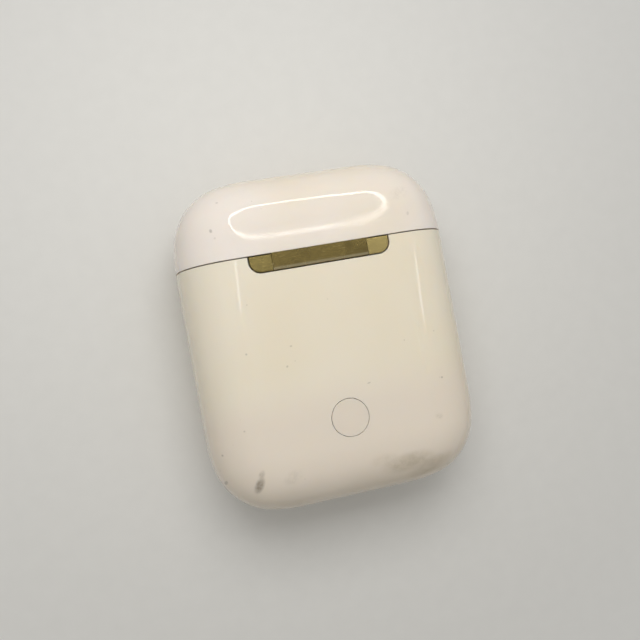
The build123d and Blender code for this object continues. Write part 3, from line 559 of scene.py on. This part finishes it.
# A punch whose outer end flares, so that the hole's edge is rounded. The outline lies across axes 0 and 1, and the
# punch runs out along axis 2 to the level of the shell's face.
def holeCutter(name, outline, level, origin, axes):
    vertices, faces, normals = [], [], []
    rounding = shell["holeRound"]
    axes = np.array(axes, dtype=float)
    rows = [(level - shell["punchDepth"], 0.0, 0.0), (level - rounding, 0.0, 0.0)]
    for k in range(1, shell["holeSteps"] + 1):
        roll = math.pi / 2 * k / shell["holeSteps"]
        rows.append((level - rounding * (1 - math.sin(roll)), rounding * (1 - math.cos(roll)), roll))
    rows.append((level + shell["punchRise"], rounding, math.pi / 2))
    for height, spread, roll in rows:
        for (x, y), (outX, outY) in outline:
            vertices.append(np.array([x + spread * outX, y + spread * outY, height]) @ axes + origin)
            normals.append(np.array([-outX * math.cos(roll), -outY * math.cos(roll), math.sin(roll)]) @ axes)
    count = len(outline)
    for i in range(len(rows) - 1):
        for j in range(count):
            k = (j + 1) % count
            faces.append((i * count + j, i * count + k, (i + 1) * count + k, (i + 1) * count + j))
    faces.append(tuple(range(count)))
    faces.append(tuple(range((len(rows) - 1) * count, len(rows) * count)))
    return solidMesh(name, vertices, faces, [faceKinds["hole"]] * len(faces)), vertices, normals


def arcPoints(centre, radius, first, last, count):  # points of an arc, each with its outward direction
    points = []
    for k in range(count + 1):
        turn = math.radians(first + (last - first) * k / count)
        points.append(((centre[0] + radius * math.cos(turn), centre[1] + radius * math.sin(turn)),
                       (math.cos(turn), math.sin(turn))))
    return points


notchInX = shell["notchHalfWidth"] - shell["notchCorner"]
notchInY = shell["notchLow"] + shell["notchCorner"]
notchTop = shell["bodyRim"] + shell["notchPast"]
notchOutline = ([((-shell["notchHalfWidth"], notchTop), (-1.0, 0.0))]
                + arcPoints((-notchInX, notchInY), shell["notchCorner"], 180, 270, shell["notchSteps"])
                + arcPoints((notchInX, notchInY), shell["notchCorner"], 270, 360, shell["notchSteps"])
                + [((shell["notchHalfWidth"], notchTop), (1.0, 0.0))])
buttonOutline = arcPoints((0.0, shell["buttonPlace"]), shell["buttonHole"], 0, 360, shell["buttonSteps"])[:-1]
portInX = (shell["portWidth"] - shell["portHeight"]) / 2
portOutline = (arcPoints((portInX, 0.0), shell["portHeight"] / 2, -90, 90, shell["portSteps"])
               + arcPoints((-portInX, 0.0), shell["portHeight"] / 2, 90, 270, shell["portSteps"]))

bodyMesh, bodyNormals = shellMesh("bodyShell", shell["bodyRim"], -1)
upwards = ((0.0, 0.0, 0.0), ((1, 0, 0), (0, 1, 0), (0, 0, 1)))  # out of the back face
baseOutwards = ((0.0, 0.0, midHeight), ((1, 0, 0), (0, 0, 1), (0, -1, 0)))  # out of the base, half way up
punches = [holeCutter("notchPunch", notchOutline, shell["depth"], *upwards),
           holeCutter("buttonPunch", buttonOutline, shell["depth"], *upwards),
           holeCutter("portPunch", portOutline, shell["length"] / 2, *baseOutwards)]
punchPlaces = [place for _, places, _ in punches for place in places]
punchNormals = [normal for _, _, normals in punches for normal in normals]
bodyNormals.update(storeNormals(punchPlaces, [range(len(punchPlaces))], [faceKinds["hole"]], punchNormals))
bodyShell = addObject("bodyShell", bodyMesh)
for _ in faceKinds:
    bodyMesh.materials.append(bodyPlastic)
for punchMesh, _, _ in punches:
    cutter = addObject(punchMesh.name, punchMesh)
    for _ in faceKinds:
        punchMesh.materials.append(bodyPlastic)
    cut = bodyShell.modifiers.new("cut", "BOOLEAN")
    cut.operation = "DIFFERENCE"
    cut.solver = "EXACT"
    cut.object = cutter
    ready = bodyShell.evaluated_get(bpy.context.evaluated_depsgraph_get())
    cutMesh = bpy.data.meshes.new_from_object(ready)
    bodyShell.modifiers.clear()
    bodyShell.data = cutMesh
    bpy.data.objects.remove(cutter)
lidMesh, lidNormals = shellMesh("lidShell", shell["lidRim"], 1)
lidMesh.materials.append(lidPlastic)
lidShell = addObject("lidShell", lidMesh)
# notch walls above this level take the dark notch plastic: dirt and painted shade round the hinge
notchShadeFrom = (shell["notchLow"] - shell["notchShadeReach"]) * mm
for piece, stored, plastic, node, body in ((bodyShell, bodyNormals, bodyPlastic, "case_shell", "case"),
                                           (lidShell, lidNormals, lidPlastic, "lid_shell", "lid")):
    trueNormals(piece.data, stored)
    slots = []
    for face in piece.data.polygons:
        inNotch = face.material_index == faceKinds["hole"] and face.center.y > notchShadeFrom
        atRim = face.material_index in (faceKinds["inside"], faceKinds["rim"])
        slots.append(2 if inNotch else 1 if atRim else 0)
    piece.data.polygons.foreach_set("material_index", slots)
    piece.data.materials.clear()
    for finish in (plastic, rimPlastic, notchPlastic):
        piece.data.materials.append(finish)
    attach(piece, body)
    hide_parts(node)
    print("  ", piece.name, len(piece.data.polygons), "faces")

finishes = {"button_cap": capPlastic}  # the material of every CAD node that stays
for name in ("inner_frame", "lid_liner", "well_cup_left", "well_cup_right", "stem_tube_left", "stem_tube_right",
             "spine_plate", "contact_carrier_left", "contact_carrier_right"):
    finishes[name] = insidePlastic

print("hinge steel")
hingeFinish = {"bracket": "#918250", "leaf": "#7B6C41", "dull": "#6A5D39", "bright": "#948860", "endTone": "#C9B67C",
               "lip": "#B3A88A", "endToneShare": 0.42, "lipHighlightShare": 0.7,
               "endToneSpan": (-7.0, 10.0), "lipHighlightSpan": (11.35, 11.0),  # along X and along Y, in millimetres
               "hairlines": [(3, 2.0, 0.05, 0.7), (-34, 1.5, 0.05, 0.74)],  # angle, length, width, cover
               "bracketClouds": 4.0, "leafClouds": 2.5, "brushing": (6.0, 0.04, 0.5)}  # pattern sizes in millimetres


# Stainless steel with a warm tarnish, polished then rubbed for years. The eye reads a smoky straw metal with long
# scratches and dull clouds, and a painted highlight along the leaf's lower lip.
def rubbedSteel(name, colourHex, cloudSize, endToneShare, lipHighlightShare):
    material, tree, shader, coords = startMaterial(name)
    clouds = addNode(tree, "ShaderNodeTexNoise", {"Vector": coords, "Scale": perMetre(cloudSize), "Detail": 5.0,
                                                  "Roughness": 0.6, "Distortion": 0.4})
    dull = addNode(tree, "ShaderNodeMapRange", {"Value": clouds.outputs["Fac"], "From Min": 0.45, "From Max": 0.68,
                                                "To Max": 0.75})
    colour = addNode(tree, "ShaderNodeMix", {0: dull.outputs[0], 6: linearColour(colourHex),
                                             7: linearColour(hingeFinish["dull"])}, data_type="RGBA").outputs[2]
    places = addNode(tree, "ShaderNodeSeparateXYZ", {0: coords})
    endToneFrom, endToneTo = hingeFinish["endToneSpan"]  # the brackets are lighter towards +X
    towardsEndTone = addNode(tree, "ShaderNodeMapRange", {"Value": places.outputs["X"], "From Min": endToneFrom * mm,
                                                   "From Max": endToneTo * mm, "To Max": endToneShare})
    colour = addNode(tree, "ShaderNodeMix", {0: towardsEndTone.outputs[0], 6: colour, 7: linearColour(hingeFinish["endTone"])},
                     data_type="RGBA").outputs[2]
    lipFrom, lipTo = hingeFinish["lipHighlightSpan"]  # painted highlight: the leaf's lower lip is painted lighter along its edge
    lip = addNode(tree, "ShaderNodeMapRange", {"Value": places.outputs["Y"], "From Min": lipFrom * mm,
                                               "From Max": lipTo * mm, "To Max": lipHighlightShare})
    colour = addNode(tree, "ShaderNodeMix", {0: lip.outputs[0], 6: colour, 7: linearColour(hingeFinish["lip"])},
                     data_type="RGBA").outputs[2]
    first, second = [hairlines(tree, coords, *look) for look in hingeFinish["hairlines"]]
    lines = addNode(tree, "ShaderNodeMath", {0: first, 1: second}, operation="MAXIMUM")
    colour = addNode(tree, "ShaderNodeMix", {0: lines.outputs[0], 6: colour, 7: linearColour(hingeFinish["bright"])},
                     data_type="RGBA").outputs[2]
    tree.links.new(colour, shader.inputs["Base Color"])
    shader.inputs["Metallic"].default_value = 1.0
    satin = addNode(tree, "ShaderNodeMapRange", {"Value": dull.outputs[0], "To Min": 0.2, "To Max": 0.42})
    gloss = addNode(tree, "ShaderNodeMath", {0: lines.outputs[0], 1: 0.15, 2: satin.outputs[0]},
                    operation="MULTIPLY_ADD")
    tree.links.new(gloss.outputs[0], shader.inputs["Roughness"])
    brushing = addNode(tree, "ShaderNodeMapping", {"Vector": coords,
                                                   "Scale": [perMetre(size) for size in hingeFinish["brushing"]]})
    grain = addNode(tree, "ShaderNodeTexNoise", {"Vector": brushing.outputs[0], "Scale": 1.0, "Detail": 3.0})
    height = addNode(tree, "ShaderNodeMath", {0: lines.outputs[0], 1: -1.0, 2: grain.outputs["Fac"]},
                     operation="MULTIPLY_ADD")
    bump = addNode(tree, "ShaderNodeBump", {"Strength": 0.1, "Distance": 0.004 * mm, "Height": height.outputs[0]})
    tree.links.new(bump.outputs[0], shader.inputs["Normal"])
    return material


finishes["hinge_bracket"] = rubbedSteel("rubbedStainlessSteelEnds", hingeFinish["bracket"],
                                        hingeFinish["bracketClouds"], hingeFinish["endToneShare"], 0.0)
finishes["hinge_leaf"] = rubbedSteel("rubbedStainlessSteelLeaf", hingeFinish["leaf"],
                                     hingeFinish["leafClouds"], 0.0, hingeFinish["lipHighlightShare"])

print("metals inside")
metals = {  # nodes, colour, colour of the film, roughness, grain along X, Y and Z in millimetres
    "groundSteel": (("hinge_pin",), "#B9B8B3", "#8E8C86", 0.24, (3.0, 0.05, 0.05)),
    "brightNickelPlate": (("body_magnet", "lid_magnet", "sensor_magnet"), "#BDB9B0", "#9A958A", 0.16,
                          (0.8, 0.8, 0.8)),
    "stampedSpringSteel": (("button_switch",), "#B5B4B0", "#94928C", 0.34, (1.5, 0.06, 1.5)),
    "drawnPolishedSteel": (("port_ring", "port_can"), "#B4B2AC", "#8B877E", 0.22, (0.4, 3.0, 0.08)),
    "goldPlatedBronze": (("port_contacts", "contact_springs_left", "contact_springs_right"), "#D9AE5E", "#B98A42",
                         0.26, (0.3, 0.9, 0.3)),
    "crinkledFoilPouch": (("battery_cell",), "#B4B6B8", "#9A9DA1", 0.36, (1.8, 1.2, 1.8)),
}
# Metals, each worked its own way. The eye reads grain that follows the tool, and a duller film in patches.
for name, (users, colourHex, filmHex, roughness, grainSize) in metals.items():
    material, tree, shader, coords = startMaterial(name)
    film = addNode(tree, "ShaderNodeTexNoise", {"Vector": coords, "Scale": perMetre(2.2), "Detail": 4.0})
    patches = addNode(tree, "ShaderNodeMapRange", {"Value": film.outputs["Fac"], "From Min": 0.45, "From Max": 0.7})
    tone = addNode(tree, "ShaderNodeMix", {0: patches.outputs[0], 6: linearColour(colourHex),
                                           7: linearColour(filmHex)}, data_type="RGBA")
    tree.links.new(tone.outputs[2], shader.inputs["Base Color"])
    shader.inputs["Metallic"].default_value = 1.0
    stretched = addNode(tree, "ShaderNodeMapping", {"Vector": coords, "Scale": [perMetre(g) for g in grainSize]})
    grain = addNode(tree, "ShaderNodeTexNoise", {"Vector": stretched.outputs[0], "Scale": 1.0, "Detail": 3.0})
    gloss = addNode(tree, "ShaderNodeMapRange", {"Value": grain.outputs["Fac"], "From Min": 0.3, "From Max": 0.7,
                                                 "To Min": roughness - 0.07, "To Max": roughness + 0.1})
    tree.links.new(gloss.outputs[0], shader.inputs["Roughness"])
    bump = addNode(tree, "ShaderNodeBump", {"Strength": 0.3, "Distance": 0.01 * mm, "Height": grain.outputs["Fac"]})
    tree.links.new(bump.outputs[0], shader.inputs["Normal"])
    for user in users:
        finishes[user] = material

print("boards, films and lamps")
fillers = {  # nodes, colour, second colour, roughness, pattern size and bump depth in millimetres
    "solderMaskedLaminate": (("main_board", "battery_board"), "#12382B", "#1E5540", 0.34, 0.5, 0.02),
    "mouldedEpoxy": (("board_chips", "lid_sensor"), "#1D1D20", "#2A2A2D", 0.55, 0.08, 0.01),
    "mouldedBlackNylon": (("button_plunger", "port_contact_block"), "#161616", "#242424", 0.5, 0.15, 0.01),
    "stretchReleaseFilm": (("battery_adhesive",), "#1B1B1C", "#2B2A2A", 0.6, 1.2, 0.02),
    "polyimideFilm": (("battery_flex",), "#A8601A", "#7C4310", 0.28, 0.3, 0.01),
    "castYellowResin": (("status_led",), "#E9DDA0", "#F3EBC4", 0.22, 0.6, 0.004),
    "openCellFoam": (("battery_foam",), "#2C2C2E", "#1A1A1B", 0.9, 0.45, 0.15),
}
# Plastics and films. The eye reads the mould's grit, the weave or tracks under the mask, or the foam's cells.
for name, (users, colourHex, secondHex, roughness, size, depth) in fillers.items():
    material, tree, shader, coords = startMaterial(name)
    pattern = addNode(tree, "ShaderNodeTexVoronoi", {"Vector": coords, "Scale": perMetre(size)},
                      distance="CHEBYCHEV" if name in ("solderMaskedLaminate", "polyimideFilm") else "EUCLIDEAN")
    edges = addNode(tree, "ShaderNodeMapRange", {"Value": pattern.outputs["Distance"], "From Min": 0.25,
                                                 "From Max": 0.6})
    tone = addNode(tree, "ShaderNodeMix", {0: edges.outputs[0], 6: linearColour(colourHex),
                                           7: linearColour(secondHex)}, data_type="RGBA")
    tree.links.new(tone.outputs[2], shader.inputs["Base Color"])
    gloss = addNode(tree, "ShaderNodeMapRange", {"Value": edges.outputs[0], "To Min": roughness - 0.05,
                                                 "To Max": roughness + 0.06})
    tree.links.new(gloss.outputs[0], shader.inputs["Roughness"])
    bump = addNode(tree, "ShaderNodeBump", {"Strength": 0.5, "Distance": depth * mm, "Height": edges.outputs[0]})
    tree.links.new(bump.outputs[0], shader.inputs["Normal"])
    for user in users:
        finishes[user] = material

guideFinish = {"colour": "#EDEBE4", "milk": "#DEDBD2", "roughness": 0.35, "ior": 1.49, "seeThrough": 0.5,
               "frost": 0.1}  # pattern size in millimetres
# Acrylic, moulded and frosted. The eye reads a milky window that light passes through.
material, tree, shader, coords = startMaterial("frostedAcrylic")
frost = addNode(tree, "ShaderNodeTexNoise", {"Vector": coords, "Scale": perMetre(guideFinish["frost"]),
                                             "Detail": 2.0})
milk = addNode(tree, "ShaderNodeMix", {0: frost.outputs["Fac"], 6: linearColour(guideFinish["colour"]),
                                       7: linearColour(guideFinish["milk"])}, data_type="RGBA")
tree.links.new(milk.outputs[2], shader.inputs["Base Color"])
bump = addNode(tree, "ShaderNodeBump", {"Strength": 0.2, "Distance": 0.005 * mm, "Height": frost.outputs["Fac"]})
tree.links.new(bump.outputs[0], shader.inputs["Normal"])
shader.inputs["Roughness"].default_value = guideFinish["roughness"]
shader.inputs["IOR"].default_value = guideFinish["ior"]
shader.inputs["Transmission Weight"].default_value = guideFinish["seeThrough"]
finishes["light_guide"] = material

for name, material in finishes.items():
    nodes[name].material_slots[0].material = material
unfinished = sorted(set(nodes) - set(finishes) - {"case_shell", "lid_shell"})
print("nodes with no finish:", unfinished)
